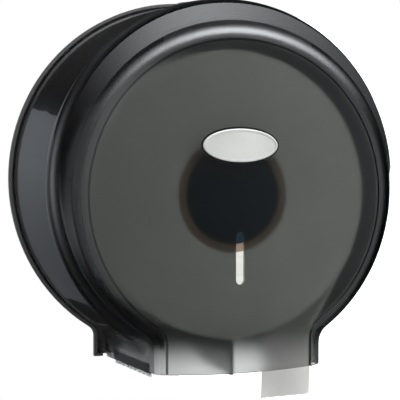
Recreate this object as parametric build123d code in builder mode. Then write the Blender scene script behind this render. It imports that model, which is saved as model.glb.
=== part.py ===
"""Wall dispenser for a jumbo toilet roll, as an assembly of separate pieces.

Millimetres. X is to the right, Y goes into the wall, Z is up. The origin is the
spindle axis on the wall plane. "Depth" is the distance out from the wall (-Y).
"""
from build123d import *
import math
import os

os.makedirs("parts", exist_ok=True)

# ---------------------------------------------------------------- driving sizes
# Clearances
running_gap = 0.05        # radial, a shaft turning in its bush
seat_gap = 0.02           # radial, a pin or screw held in its hole
slack = 0.1               # axial, thin washers and flanges on the spindle
loose_gap = 0.3           # pieces that lie side by side
overrun = 1.0             # how far a cut runs past the face it opens
bite = 0.5                # how far features of one moulding run into each other

# The roll and its core
roll_radius = 100.5
roll_width = 88.0
roll_stand_off = 32.0
core_wall = 5.8
paper_thickness = 0.5

# Back plate: a shallow pan screwed to the wall
roll_room = 36.8          # from the roll to the plate's rim
plate_centre_z = 10.0
plate_corner_radius = 8.0
plate_depth = 10.0
plate_floor = 3.2
plate_rim = 2.1
plate_slant = 2.2         # the sides lean in by this towards the wall
plate_slant_depth = 5.0
mouth_side_gap = 9.6      # the plate's foot past the mouth's side walls
foot_opening_margin = 3.0
foot_drop = 0.2           # the mouth's foot below the plate's circle
wall_hole_radius = 2.75
wall_hole_spacing_x = 150.0
wall_hole_spacing_z = 120.0
wall_boss_radius = 8.0
wall_boss_depth = 6.0
rib_count = 8
rib_width = 2.0
rib_depth = 6.4
rib_outer_radius = 92.0
spindle_boss_depth = 12.0
screw_floor = 1.2         # plate left under a blind screw hole

# Divider in the middle of the mouth, a web plugged into the back plate
divider_thickness = 2.4
divider_tongue = 2.0      # how deep its root sits in the plate
divider_roll_gap = 4.5
divider_height = 22.0
divider_root_height = 11.0
divider_knee_depth = 66.0
divider_front_gap = 16.2

# Front cover: its outline shrinks from the wall end to the groove
cover_wall = 2.2
front_wall = 2.6
front_room = 14.2         # from the roll to the front face
rim_gap = 0.85            # between the plate's rim and the cover
cover_rear_depth = 5.0
taper_step = 5.45
shoulder_step = 5.3
crease_step = 6.1
bezel_step = 11.0
shoulder_back = 32.2      # the shoulder's start, back from the front face
crease_back = 12.2
bezel_back = 3.2
lip_back = 0.5
lip_step = 4.25
swell_share = 0.8         # the shoulder's fullest point, from its start
swell_radius_step = 2.75
swell_centre_rise = 2.15
shoulder_centre_step = -3.0
crease_centre_step = -0.8
bezel_centre_step = -7.5
lip_centre_z = 0.8
groove_width = 1.5
groove_bottom = 1.1
mouth_half_width = 62.2
mouth_swell_step = 0.1
mouth_crease_step = 0.3
mouth_bezel_step = 1.0
mouth_panel_step = 9.4
mouth_lip_step = 2.65
mouth_corner_radius = 14.0
mouth_foot_drop = 0.7     # the side walls' rear ends below the plate's foot
mouth_rise = 7.6          # the lower edge rises by this towards the front
skirt_width_past = 5.0
skirt_end_rise = 0.84
skirt_sag = 2.4
slot_length = 36.4
slot_width = 6.4
slot_centre_z = -43.5

# Badge: a bare oval plate on its pad
badge_centre_z = 34.0
badge_half_length = 27.2
badge_half_height = 11.5
badge_border = 1.3
badge_seat_gap = 0.2
badge_thickness = 1.7
badge_edge_round = 0.5
badge_rim_width = 1.5
badge_rim_height = 0.6
badge_pad_thickness = 0.8

# Cutter strips on the side walls of the mouth
cutter_thickness = 1.0
cutter_height = 9.0
cutter_drop = 2.6
cutter_start_depth = 30.0
cutter_end_back = 12.6
cutter_end_gap = 0.2
tooth_pitch = 10.5
tooth_notch_width = 5.0
tooth_notch_height = 2.2
tooth_lead_in = 14.0

# Hinge at the foot of the back plate
hinge_depth = 14.0
hinge_rise = 8.5          # above the plate's foot
hinge_pin_radius = 2.5
hinge_eye_radius = 6.0
cover_eye_length = 4.0
ear_thickness = 5.5
pin_cover = 1.0           # side wall left outside a pin's blind hole
pin_end_gap = 0.4

# Spindle and hub
axle_radius = 8.0
axle_end_back = 10.0      # the spindle's end, back from the roll's front
axle_flange_radius = 18.0
axle_flange_thickness = 4.0
spindle_boss_margin = 3.0
axle_screw_count = 3
axle_screw_radius = 2.0
axle_screw_head_radius = 3.6
axle_screw_head_height = 2.4
axle_screw_start = 2.0
axle_screw_socket_radius = 1.5
axle_screw_socket_depth = 1.2
washer_width = 5.0        # brake and retaining washers, past the spindle
brake_washer_gap = 0.4
brake_washer_thickness = 1.4
bush_wall = 3.0
bush_length = 14.0
bush_flange_thickness = 1.4
bush_flange_extra = 2.5
hub_radius = 34.3
hub_wall = 2.2
hub_tube_wall = 3.0
hub_flange_extra = 5.6    # past the core
hub_flange_thickness = 3.2
hub_flange_gap = 0.2
hub_rib_count = 6
hub_rib_width = 2.0
hub_rib_depth = 26.0
hub_cap_thickness = 2.6
hub_cap_sink = 1.0
hub_cap_round = 0.9
hub_cap_skirt = 6.0
hub_cap_skirt_wall = 1.6
retaining_washer_thickness = 1.5
retaining_screw_radius = 2.5
retaining_screw_head_radius = 5.0
retaining_screw_head_height = 3.2
retaining_screw_head_round = 1.0
retaining_screw_length = 14.0
retaining_screw_socket_radius = 2.2
retaining_screw_socket_depth = 1.6

# Loose end of the paper
tail_wall_gap = 0.6
tail_bend_rise = 2.5      # the bend, above the roll's lowest point
tail_back_drop = 36.8     # below the mouth's rear corner
tail_front_drop = 23.4    # below the mouth's front corner

# Lock in the top of the cover, and its keeper on the plate
lock_depth = 30.0
lock_body_radius = 7.5
lock_flange_extra = 3.5
lock_flange_thickness = 1.5
lock_flange_round = 0.8
lock_seat_margin = 1.5
lock_seat_rise = 1.1
lock_seat_drop = 1.5
lock_body_height = 9.5
lock_plug_radius = 4.6
lock_plug_sink = 0.3
lock_nut_extra = 4.0
lock_nut_thickness = 3.0
key_slot_width = 1.6
key_slot_length = 6.0
key_slot_height = 4.0
cam_length = 20.5
cam_width = 6.8
cam_thickness = 2.0
cam_tip_round = 2.5
cam_screw_radius = 1.5
cam_screw_head_radius = 3.0
cam_screw_head_height = 1.6
cam_screw_length = 6.0
keeper_thickness = 2.0
keeper_end_gap = 1.5      # from the turned cam's tip to the keeper's arm
keeper_lip_gap = 0.6
keeper_lip_length = 9.0
keeper_above_cam = 2.3
keeper_below_cam = 3.2
keeper_foot_length = 20.0
keeper_screw_radius = 1.5
keeper_screw_head_radius = 2.8
keeper_screw_head_height = 1.6
keeper_screw_spacing = 9.0
keeper_screw_margin = 1.0

# Rubber bumpers between plate and cover
bumper_radius = 3.0
bumper_rim_gap = 0.1      # from a bumper to the plate's rim
bumper_angles = (35.0, 145.0, 205.0, 335.0)

# -------------------------------------------------------------- derived sizes
roll_rear_depth = roll_stand_off
roll_front_depth = roll_rear_depth + roll_width
axle_end_depth = roll_front_depth - axle_end_back
core_radius = hub_radius + loose_gap + core_wall
plate_radius = roll_radius + roll_room
plate_mouth_half_width = mouth_half_width + mouth_side_gap
plate_bottom_z = plate_centre_z - plate_radius - foot_drop
cover_inner_half_width = mouth_half_width - cover_wall
front_depth = roll_front_depth + front_room
shoulder_depth = front_depth - shoulder_back
crease_depth = front_depth - crease_back
bezel_depth = front_depth - bezel_back
cover_rear_radius = plate_radius - plate_rim - rim_gap
shoulder_radius = cover_rear_radius - taper_step
crease_radius = shoulder_radius - shoulder_step
bezel_radius = crease_radius - crease_step
groove_radius = bezel_radius - bezel_step
shoulder_centre_z = plate_centre_z + shoulder_centre_step
crease_centre_z = plate_centre_z + crease_centre_step
bezel_centre_z = plate_centre_z + bezel_centre_step
front_mouth_half_width = mouth_half_width - mouth_panel_step
mouth_rear_z = plate_bottom_z - mouth_foot_drop
mouth_front_z = mouth_rear_z + mouth_rise
mouth_slope = mouth_rise / (front_depth - cover_rear_depth)
hinge_z = plate_bottom_z + hinge_rise
divider_top_z = -roll_radius - divider_roll_gap
divider_root_depth = plate_floor - divider_tongue + seat_gap
divider_end_depth = front_depth - divider_front_gap
cutter_end_depth = front_depth - cutter_end_back
tail_bend_z = tail_bend_rise - roll_radius
tail_back_z = mouth_rear_z - tail_back_drop
tail_front_z = mouth_front_z - tail_front_drop
far_side = 4 * plate_radius
below_everything = tail_back_z - overrun
hollow_bottom_z = below_everything - overrun
spindle_boss_radius = axle_flange_radius + spindle_boss_margin
axle_screw_circle_radius = (axle_radius + axle_flange_radius) / 2
washer_radius = axle_radius + washer_width
hub_flange_radius = core_radius + hub_flange_extra
lock_flange_radius = lock_body_radius + lock_flange_extra
lock_seat_radius = lock_flange_radius + lock_seat_margin
lock_nut_radius = lock_body_radius + lock_nut_extra
lock_share = (lock_depth - cover_rear_depth) / (shoulder_depth - cover_rear_depth)
wall_radius_at_lock = cover_rear_radius - lock_share * taper_step
wall_centre_at_lock = plate_centre_z + lock_share * shoulder_centre_step
lock_wall_z = wall_centre_at_lock + wall_radius_at_lock
lock_seat_top_z = lock_wall_z + lock_seat_rise
lock_seat_bottom_z = lock_wall_z - cover_wall - lock_seat_drop
lock_body_bottom_z = lock_seat_top_z - lock_body_height
cam_top_z = lock_body_bottom_z - loose_gap
cam_bottom_z = cam_top_z - cam_thickness
keeper_top_z = cam_top_z + keeper_above_cam
keeper_bottom_z = cam_bottom_z - keeper_below_cam
keeper_mid_z = (keeper_top_z + keeper_bottom_z) / 2
keeper_reach_x = cam_length + keeper_end_gap + keeper_thickness
keeper_screw_x = (keeper_reach_x - keeper_thickness - keeper_screw_head_radius
                  - keeper_screw_margin)
keeper_screw_places = ((keeper_screw_x, keeper_mid_z),
                       (keeper_screw_x - keeper_screw_spacing, keeper_mid_z))


def mouth_edge_z(depth):
    """Height of the mouth's sloping lower edge at a depth from the wall."""
    return mouth_rear_z + mouth_slope * (depth - cover_rear_depth)


def outline(radius, centre_z, half_width, corner_radius, bottom_z):
    """Draw the dispenser's outline: a circle with a straight-sided mouth below.

    A concave corner joins the circle to each side of the mouth.
    """
    reach = radius + corner_radius
    corner_x = half_width + corner_radius
    corner_z = centre_z - math.sqrt(reach**2 - corner_x**2)
    share = radius / reach
    circle_x = corner_x * share
    circle_z = centre_z + (corner_z - centre_z) * share
    turn = math.atan2(circle_z - corner_z, circle_x - corner_x)
    middle = (turn + math.pi) / 2
    mid_x = corner_x + corner_radius * math.cos(middle)
    mid_z = corner_z + corner_radius * math.sin(middle)
    with BuildSketch() as shape:
        with BuildLine():
            ThreePointArc((circle_x, circle_z), (0, centre_z + radius), (-circle_x, circle_z))
            ThreePointArc((-circle_x, circle_z), (-mid_x, mid_z), (-half_width, corner_z))
            Line((-half_width, corner_z), (-half_width, bottom_z))
            Line((-half_width, bottom_z), (half_width, bottom_z))
            Line((half_width, bottom_z), (half_width, corner_z))
            ThreePointArc((half_width, corner_z), (mid_x, mid_z), (circle_x, circle_z))
        make_face()
    return shape.sketch_local


def ring_profile(inner, outer, near, far):
    """Draw half the section of a ring about the Y axis, between two depths."""
    with BuildSketch() as shape:
        with BuildLine():
            Polyline((inner, -near), (outer, -near), (outer, -far), (inner, -far), close=True)
        make_face()
    return shape.sketch_local


# ------------------------------------------------------------------ back plate
ear_outer_x = cover_inner_half_width - cover_eye_length - loose_gap
ear_inner_x = ear_outer_x - ear_thickness


def plate_outline(inset):
    """Draw the plate's outline, moved in by a distance."""
    return outline(plate_radius - inset, plate_centre_z, plate_mouth_half_width - inset,
                   plate_corner_radius + inset, plate_bottom_z + inset)


with BuildPart() as back_plate:
    with BuildSketch(Plane.XZ):
        add(plate_outline(plate_slant))
    with BuildSketch(Plane.XZ.offset(plate_slant_depth)):
        add(plate_outline(0.0))
    loft(ruled=True)
    with BuildSketch(Plane.XZ.offset(plate_slant_depth)):
        add(plate_outline(0.0))
    extrude(amount=plate_depth - plate_slant_depth)
    with BuildSketch(Plane.XZ.offset(plate_floor)):
        add(plate_outline(plate_rim))
    extrude(amount=plate_depth, mode=Mode.SUBTRACT)
    # The rim is open below the mouth, where the paper and the open cover pass.
    with BuildSketch(Plane.XZ.offset(plate_floor)):
        with Locations((0, plate_bottom_z)):
            Rectangle(2 * (mouth_half_width + foot_opening_margin), 4 * plate_rim)
    extrude(amount=plate_depth, mode=Mode.SUBTRACT)
    with BuildSketch(Plane.XZ.offset(plate_floor)):
        Circle(spindle_boss_radius)
    extrude(amount=spindle_boss_depth - plate_floor)
    with BuildSketch(Plane.XZ.offset(plate_floor)):
        with GridLocations(wall_hole_spacing_x, wall_hole_spacing_z, 2, 2):
            Circle(wall_boss_radius)
    extrude(amount=wall_boss_depth - plate_floor)
    with BuildSketch(Plane.XZ.offset(plate_floor)):
        rib_length = rib_outer_radius - spindle_boss_radius + bite
        rib_middle = rib_outer_radius - rib_length / 2
        with PolarLocations(rib_middle, rib_count, start_angle=0):
            Rectangle(rib_length, rib_width)
    extrude(amount=rib_depth - plate_floor)
    with BuildSketch(Plane.XZ):
        with GridLocations(wall_hole_spacing_x, wall_hole_spacing_z, 2, 2):
            Circle(wall_hole_radius)
    extrude(amount=plate_depth, mode=Mode.SUBTRACT)
    # Hinge ears, inside the mouth
    for side in (-1, 1):
        ear_start = ear_inner_x if side > 0 else -ear_outer_x
        with BuildSketch(Plane.YZ.offset(ear_start)):
            with Locations((-hinge_depth, hinge_z)):
                Circle(hinge_eye_radius)
            with BuildLine():
                Polyline((-plate_floor, hinge_z + 2 * hinge_eye_radius),
                         (-hinge_depth, hinge_z + hinge_eye_radius),
                         (-hinge_depth, hinge_z - hinge_eye_radius),
                         (-plate_floor, hinge_z - hinge_eye_radius), close=True)
            make_face()
        extrude(amount=ear_thickness)
    with BuildSketch(Plane.YZ.offset(-plate_radius)):
        with Locations((-hinge_depth, hinge_z)):
            Circle(hinge_pin_radius + seat_gap)
    extrude(amount=2 * plate_radius, mode=Mode.SUBTRACT)
    # Slot for the divider's root
    with BuildSketch(Plane.XZ.offset(plate_floor - divider_tongue)):
        with Locations((0, divider_top_z - divider_root_height / 2)):
            Rectangle(divider_thickness + 2 * seat_gap, divider_root_height + 2 * seat_gap)
    extrude(amount=plate_depth, mode=Mode.SUBTRACT)
    # Pilot holes for the spindle's and the keeper's screws
    with BuildSketch(Plane.XZ.offset(screw_floor)):
        with PolarLocations(axle_screw_circle_radius, axle_screw_count, start_angle=90):
            Circle(axle_screw_radius + seat_gap)
    extrude(amount=spindle_boss_depth, mode=Mode.SUBTRACT)
    with BuildSketch(Plane.XZ.offset(screw_floor)):
        with Locations(*keeper_screw_places):
            Circle(keeper_screw_radius + seat_gap)
    extrude(amount=plate_depth, mode=Mode.SUBTRACT)
back_plate.part.label = "back_plate"
export_step(back_plate.part, "parts/back_plate.step")

# --------------------------------------------------------------- mouth divider
# Its upper edge clears the roll, and its lower edge steps down to the mouth.
with BuildPart() as mouth_divider:
    with BuildSketch(Plane.YZ.offset(-divider_thickness / 2)):
        with BuildLine():
            Polyline((-divider_root_depth, divider_top_z), (-divider_end_depth, divider_top_z),
                     (-divider_end_depth, divider_top_z - divider_height),
                     (-divider_knee_depth, divider_top_z - divider_height),
                     (-plate_floor, divider_top_z - divider_root_height),
                     (-divider_root_depth, divider_top_z - divider_root_height), close=True)
        make_face()
    extrude(amount=divider_thickness)
mouth_divider.part.label = "mouth_divider"
export_step(mouth_divider.part, "parts/mouth_divider.step")

# ----------------------------------------------------------------- front cover
# Each section: depth, radius, centre height, mouth half width, then how far the
# wall thickness points inwards and back from the front.
swell_depth = shoulder_depth + swell_share * (crease_depth - shoulder_depth)
cover_sections = (
    (cover_rear_depth, cover_rear_radius, plate_centre_z, mouth_half_width, 1.0, 0.0),
    (shoulder_depth, shoulder_radius, shoulder_centre_z, mouth_half_width, 1.0, 0.0),
    (swell_depth, shoulder_radius - swell_radius_step, shoulder_centre_z + swell_centre_rise,
     mouth_half_width - mouth_swell_step, 0.85, 0.3),
    (crease_depth, crease_radius, crease_centre_z, mouth_half_width - mouth_crease_step, 0.8, 0.6),
    (bezel_depth, bezel_radius, bezel_centre_z, mouth_half_width - mouth_bezel_step, 0.5, 0.9),
    (front_depth - lip_back, groove_radius + groove_width / 2 + lip_step, lip_centre_z,
     front_mouth_half_width + groove_width / 2 + mouth_lip_step, 0.3, 1.0),
    (front_depth, groove_radius + groove_width / 2, 0.0,
     front_mouth_half_width + groove_width / 2, 0.3, 1.0),
)
section_spans = ((0, 1, True), (1, 3, False), (3, 4, True), (4, 6, False))


def cover_section(index, inwards, bottom_z):
    """Sketch one section of the cover, moved in by a share of its wall."""
    depth, radius, centre_z, half_width, across, back = cover_sections[index]
    plane_depth = depth - back * inwards * front_wall / cover_wall
    with BuildSketch(Plane.XZ.offset(plane_depth)) as section:
        add(outline(radius - across * inwards, centre_z, half_width - across * inwards,
                    mouth_corner_radius + across * inwards, bottom_z))
    return section.sketch


def cover_body(inwards, bottom_z):
    """Loft the cover's sections into one closed solid."""
    for first, last, straight in section_spans:
        sections = [cover_section(index, inwards, bottom_z) for index in range(first, last + 1)]
        loft(sections, ruled=straight)


with BuildPart() as cover_hollow:
    cover_body(cover_wall, hollow_bottom_z)
    # The hollow runs on past the rear edge.
    extrude(cover_section(0, cover_wall, hollow_bottom_z), amount=-cover_rear_depth)

with BuildPart() as front_cover:
    cover_body(0.0, below_everything)
    add(cover_hollow.part, mode=Mode.SUBTRACT)
    # Groove round the front panel
    with BuildSketch(Plane.XZ.offset(front_depth - groove_bottom)):
        add(outline(groove_radius + groove_width / 2, 0.0,
                    front_mouth_half_width + groove_width / 2, mouth_corner_radius,
                    below_everything))
    groove_tool = extrude(amount=groove_bottom * 2, mode=Mode.PRIVATE)
    with BuildSketch(Plane.XZ.offset(front_depth - groove_bottom)):
        add(outline(groove_radius - groove_width / 2, 0.0,
                    front_mouth_half_width - groove_width / 2,
                    mouth_corner_radius + groove_width, below_everything))
    panel_tool = extrude(amount=groove_bottom * 2, mode=Mode.PRIVATE)
    add(groove_tool - panel_tool, mode=Mode.SUBTRACT)
    # Hinge eyes inside the mouth's side walls
    eye_start = cover_inner_half_width - cover_eye_length
    for eye_plane in (eye_start, -cover_inner_half_width - bite):
        with BuildSketch(Plane.YZ.offset(eye_plane)):
            with Locations((-hinge_depth, hinge_z)):
                Circle(hinge_eye_radius)
        extrude(amount=cover_eye_length + bite)
    # Lower edge of the mouth: sloping side walls, sagging front skirt
    edge_near = cover_rear_depth - overrun
    with BuildSketch(Plane.YZ.offset(-far_side / 2)):
        with BuildLine():
            Polyline((-edge_near, mouth_edge_z(edge_near)),
                     (-crease_depth, mouth_edge_z(crease_depth)),
                     (-crease_depth, -far_side), (-edge_near, -far_side), close=True)
        make_face()
    extrude(amount=far_side, mode=Mode.SUBTRACT)
    skirt_side_x = mouth_half_width + skirt_width_past
    skirt_side_z = mouth_front_z + skirt_end_rise
    with BuildSketch(Plane.XZ.offset(crease_depth)):
        with BuildLine():
            ThreePointArc((-skirt_side_x, skirt_side_z), (0, mouth_front_z - skirt_sag),
                          (skirt_side_x, skirt_side_z))
            Polyline((skirt_side_x, skirt_side_z), (skirt_side_x, -far_side),
                     (-skirt_side_x, -far_side), (-skirt_side_x, skirt_side_z))
        make_face()
    extrude(amount=front_depth, mode=Mode.SUBTRACT)
    # The rear lower corners are rounded about the hinge, so the cover can swing.
    corner_reach = hinge_depth - cover_rear_depth
    with BuildSketch(Plane.YZ.offset(-far_side / 2)):
        with BuildLine():
            Line((-hinge_depth, hinge_z - corner_reach), (-hinge_depth, -far_side))
            Line((-hinge_depth, -far_side), (0, -far_side))
            Line((0, -far_side), (0, hinge_z))
            Line((0, hinge_z), (-cover_rear_depth, hinge_z))
            ThreePointArc((-cover_rear_depth, hinge_z),
                          (-hinge_depth + corner_reach * math.sqrt(0.5),
                           hinge_z - corner_reach * math.sqrt(0.5)),
                          (-hinge_depth, hinge_z - corner_reach))
        make_face()
    extrude(amount=far_side, mode=Mode.SUBTRACT)
    # Pin holes, blind from the inside
    pin_hole_end = mouth_half_width - pin_cover
    pin_hole_start = eye_start - overrun
    for hole_plane in (pin_hole_start, -pin_hole_end):
        with BuildSketch(Plane.YZ.offset(hole_plane)):
            with Locations((-hinge_depth, hinge_z)):
                Circle(hinge_pin_radius + running_gap)
        extrude(amount=pin_hole_end - pin_hole_start, mode=Mode.SUBTRACT)
    # Seats for the cutter strips, cut into the inner face above the lower edge
    seat_rise = cutter_height - cutter_drop
    for seat_plane in (cover_inner_half_width - overrun,
                       -cover_inner_half_width - cutter_thickness):
        with BuildSketch(Plane.YZ.offset(seat_plane)):
            with BuildLine():
                Polyline((-cutter_start_depth, mouth_edge_z(cutter_start_depth) + seat_rise),
                         (-cutter_end_depth, mouth_edge_z(cutter_end_depth) + seat_rise),
                         (-cutter_end_depth, -far_side), (-cutter_start_depth, -far_side),
                         close=True)
            make_face()
        extrude(amount=cutter_thickness + overrun, mode=Mode.SUBTRACT)
    # Level slot
    with BuildSketch(Plane.XZ.offset(front_depth - 2 * front_wall)):
        with Locations((0, slot_centre_z)):
            SlotOverall(slot_length, slot_width, rotation=90)
    extrude(amount=4 * front_wall, mode=Mode.SUBTRACT)
    # Seat of the badge
    with BuildSketch(Plane.XZ.offset(front_depth - badge_pad_thickness)):
        with Locations((0, badge_centre_z)):
            Ellipse(badge_half_length + badge_border + badge_seat_gap,
                    badge_half_height + badge_border + badge_seat_gap)
    extrude(amount=badge_pad_thickness * 2, mode=Mode.SUBTRACT)
    # Flat seat and hole for the lock in the top wall
    with BuildSketch(Plane.XY.offset(lock_seat_bottom_z)):
        with Locations((0, -lock_depth)):
            Circle(lock_seat_radius)
    extrude(amount=lock_seat_top_z - lock_seat_bottom_z)
    with BuildSketch(Plane.XY.offset(lock_body_bottom_z)):
        with Locations((0, -lock_depth)):
            Circle(lock_body_radius + loose_gap / 2)
    extrude(amount=lock_body_height + overrun, mode=Mode.SUBTRACT)
front_cover.part.label = "front_cover"
export_step(front_cover.part, "parts/front_cover.step")

# ----------------------------------------------------------------------- badge
with BuildPart() as badge_pad:
    with BuildSketch(Plane.XZ.offset(front_depth - badge_pad_thickness)):
        with Locations((0, badge_centre_z)):
            Ellipse(badge_half_length + badge_border, badge_half_height + badge_border)
    extrude(amount=badge_pad_thickness)
badge_pad.part.label = "badge_pad"
export_step(badge_pad.part, "parts/badge_pad.step")

with BuildPart() as badge_plate:
    with BuildSketch(Plane.XZ.offset(front_depth)):
        with Locations((0, badge_centre_z)):
            Ellipse(badge_half_length, badge_half_height)
    extrude(amount=badge_thickness)
    rim_edges = badge_plate.faces().sort_by(Axis.Y)[0].edges()
    fillet(rim_edges, radius=badge_edge_round)
    with BuildSketch(Plane.XZ.offset(front_depth + badge_thickness - badge_rim_height)):
        with Locations((0, badge_centre_z)):
            Ellipse(badge_half_length - badge_rim_width, badge_half_height - badge_rim_width)
    extrude(amount=badge_thickness, mode=Mode.SUBTRACT)
badge_plate.part.label = "badge_plate"
export_step(badge_plate.part, "parts/badge_plate.step")

# -------------------------------------------------------------- cutter strips
strip_rise = seat_rise - cutter_end_gap / 2


def cutter_outline():
    """Draw a strip's side view: straight top, notched lower edge."""
    near = cutter_start_depth + cutter_end_gap
    far = cutter_end_depth - cutter_end_gap
    points = [(-near, mouth_edge_z(near) + strip_rise), (-near, mouth_edge_z(near) - cutter_drop)]
    notch = near + tooth_lead_in
    while notch + tooth_notch_width < far:
        for depth, rise in ((notch, 0.0), (notch + tooth_notch_width / 2, tooth_notch_height),
                            (notch + tooth_notch_width, 0.0)):
            points.append((-depth, mouth_edge_z(depth) - cutter_drop + rise))
        notch += tooth_pitch
    points.append((-far, mouth_edge_z(far) - cutter_drop))
    points.append((-far, mouth_edge_z(far) + strip_rise))
    with BuildSketch() as shape:
        with BuildLine():
            Polyline(*points, close=True)
        make_face()
    return shape.sketch_local


cutter_starts = {"left": -cover_inner_half_width - cutter_thickness,
                 "right": cover_inner_half_width}
for side_name, cutter_start in cutter_starts.items():
    with BuildPart() as cutter_strip:
        with BuildSketch(Plane.YZ.offset(cutter_start)):
            add(cutter_outline())
        extrude(amount=cutter_thickness)
    cutter_strip.part.label = "cutter_strip_" + side_name
    export_step(cutter_strip.part, "parts/cutter_strip_" + side_name + ".step")

# ------------------------------------------------------------------ hinge pins
pin_end_x = pin_hole_end - pin_end_gap
pin_length = pin_end_x - ear_inner_x
pin_starts = {"left": -pin_end_x, "right": ear_inner_x}
for side_name, pin_start in pin_starts.items():
    with BuildPart() as hinge_pin:
        with BuildSketch(Plane.YZ.offset(pin_start)):
            with Locations((-hinge_depth, hinge_z)):
                Circle(hinge_pin_radius)
        extrude(amount=pin_length)
    hinge_pin.part.label = "hinge_pin_" + side_name
    export_step(hinge_pin.part, "parts/hinge_pin_" + side_name + ".step")

# --------------------------------------------------------------------- spindle
flange_front = spindle_boss_depth + axle_flange_thickness
with BuildPart() as spindle_axle:
    with BuildSketch(Plane.XY):
        add(ring_profile(0, axle_flange_radius, spindle_boss_depth, flange_front))
    revolve(axis=Axis.Y)
    with BuildSketch(Plane.XY):
        add(ring_profile(0, axle_radius, flange_front, axle_end_depth))
    revolve(axis=Axis.Y)
    with BuildSketch(Plane.XY):
        add(ring_profile(0, retaining_screw_radius + seat_gap,
                         axle_end_depth - retaining_screw_length - overrun, axle_end_depth))
    revolve(axis=Axis.Y, mode=Mode.SUBTRACT)
    with BuildSketch(Plane.XZ.offset(spindle_boss_depth - overrun)):
        with PolarLocations(axle_screw_circle_radius, axle_screw_count, start_angle=90):
            Circle(axle_screw_radius + seat_gap)
    extrude(amount=axle_flange_thickness + 2 * overrun, mode=Mode.SUBTRACT)
    with BuildSketch(Plane.XZ.offset(flange_front - axle_screw_head_height)):
        with PolarLocations(axle_screw_circle_radius, axle_screw_count, start_angle=90):
            Circle(axle_screw_head_radius + seat_gap)
    extrude(amount=axle_screw_head_height + overrun, mode=Mode.SUBTRACT)
spindle_axle.part.label = "spindle_axle"
export_step(spindle_axle.part, "parts/spindle_axle.step")

with BuildPart() as axle_screws:
    with BuildSketch(Plane.XZ.offset(axle_screw_start)):
        with PolarLocations(axle_screw_circle_radius, axle_screw_count, start_angle=90):
            Circle(axle_screw_radius)
    extrude(amount=flange_front - axle_screw_head_height - axle_screw_start)
    with BuildSketch(Plane.XZ.offset(flange_front - axle_screw_head_height)):
        with PolarLocations(axle_screw_circle_radius, axle_screw_count, start_angle=90):
            Circle(axle_screw_head_radius)
    extrude(amount=axle_screw_head_height)
    with BuildSketch(Plane.XZ.offset(flange_front - axle_screw_socket_depth)):
        with PolarLocations(axle_screw_circle_radius, axle_screw_count, start_angle=90):
            RegularPolygon(axle_screw_socket_radius, 6)
    extrude(amount=axle_screw_socket_depth, mode=Mode.SUBTRACT)
axle_screws.part.label = "axle_screws"
export_step(axle_screws.part, "parts/axle_screws.step")

# A springy friction washer keeps the roll from running on.
washer_rear = flange_front + slack
with BuildPart() as brake_washer:
    with BuildSketch(Plane.XY):
        add(ring_profile(axle_radius + brake_washer_gap, washer_radius, washer_rear,
                         washer_rear + brake_washer_thickness))
    revolve(axis=Axis.Y)
brake_washer.part.label = "brake_washer"
export_step(brake_washer.part, "parts/brake_washer.step")

# ------------------------------------------------------------------------- hub
bush_radius = axle_radius + running_gap + bush_wall
bush_bore_radius = axle_radius + running_gap
bush_rear = washer_rear + brake_washer_thickness + slack
tube_rear = bush_rear + bush_flange_thickness
tube_front = axle_end_depth - loose_gap - bush_flange_thickness
hub_rear = roll_rear_depth - hub_flange_thickness - hub_flange_gap
cap_rear = roll_front_depth - hub_cap_sink

bush_spans = {"rear": (tube_rear, tube_rear + bush_length, bush_rear, tube_rear),
              "front": (tube_front - bush_length, tube_front,
                        tube_front, tube_front + bush_flange_thickness)}
for end_name, (near, far, flange_near, flange_far) in bush_spans.items():
    with BuildPart() as hub_bush:
        with BuildSketch(Plane.XY):
            add(ring_profile(bush_bore_radius, bush_radius, near, far))
        revolve(axis=Axis.Y)
        with BuildSketch(Plane.XY):
            add(ring_profile(bush_bore_radius, bush_radius + bush_flange_extra,
                             flange_near, flange_far))
        revolve(axis=Axis.Y)
    hub_bush.part.label = "hub_bush_" + end_name
    export_step(hub_bush.part, "parts/hub_bush_" + end_name + ".step")

tube_bore = bush_radius + seat_gap
with BuildPart() as hub_sleeve:
    with BuildSketch(Plane.XY):
        add(ring_profile(tube_bore, tube_bore + hub_tube_wall, tube_rear, tube_front))
    revolve(axis=Axis.Y)
    with BuildSketch(Plane.XY):
        add(ring_profile(tube_bore + bite, hub_flange_radius, hub_rear,
                         hub_rear + hub_flange_thickness))
    revolve(axis=Axis.Y)
    with BuildSketch(Plane.XY):
        add(ring_profile(hub_radius - hub_wall, hub_radius, hub_rear + bite, cap_rear))
    revolve(axis=Axis.Y)
    rib_start = tube_bore + bite
    rib_end = hub_radius - bite
    with BuildSketch(Plane.XZ.offset(hub_rear + bite)):
        with PolarLocations((rib_start + rib_end) / 2, hub_rib_count):
            Rectangle(rib_end - rib_start, hub_rib_width)
    extrude(amount=hub_rib_depth)
hub_sleeve.part.label = "hub_sleeve"
export_step(hub_sleeve.part, "parts/hub_sleeve.step")

with BuildPart() as hub_cap:
    with BuildSketch(Plane.XY):
        add(ring_profile(0, hub_radius, cap_rear, cap_rear + hub_cap_thickness))
    revolve(axis=Axis.Y)
    fillet(hub_cap.faces().sort_by(Axis.Y)[0].edges(), radius=hub_cap_round)
    skirt_radius = hub_radius - hub_wall - seat_gap
    with BuildSketch(Plane.XY):
        add(ring_profile(skirt_radius - hub_cap_skirt_wall, skirt_radius,
                         cap_rear - hub_cap_skirt, cap_rear + bite))
    revolve(axis=Axis.Y)
hub_cap.part.label = "hub_cap"
export_step(hub_cap.part, "parts/hub_cap.step")

retaining_rear = axle_end_depth
with BuildPart() as retaining_washer:
    with BuildSketch(Plane.XY):
        add(ring_profile(retaining_screw_radius + seat_gap, washer_radius,
                         retaining_rear, retaining_rear + retaining_washer_thickness))
    revolve(axis=Axis.Y)
retaining_washer.part.label = "retaining_washer"
export_step(retaining_washer.part, "parts/retaining_washer.step")

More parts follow.
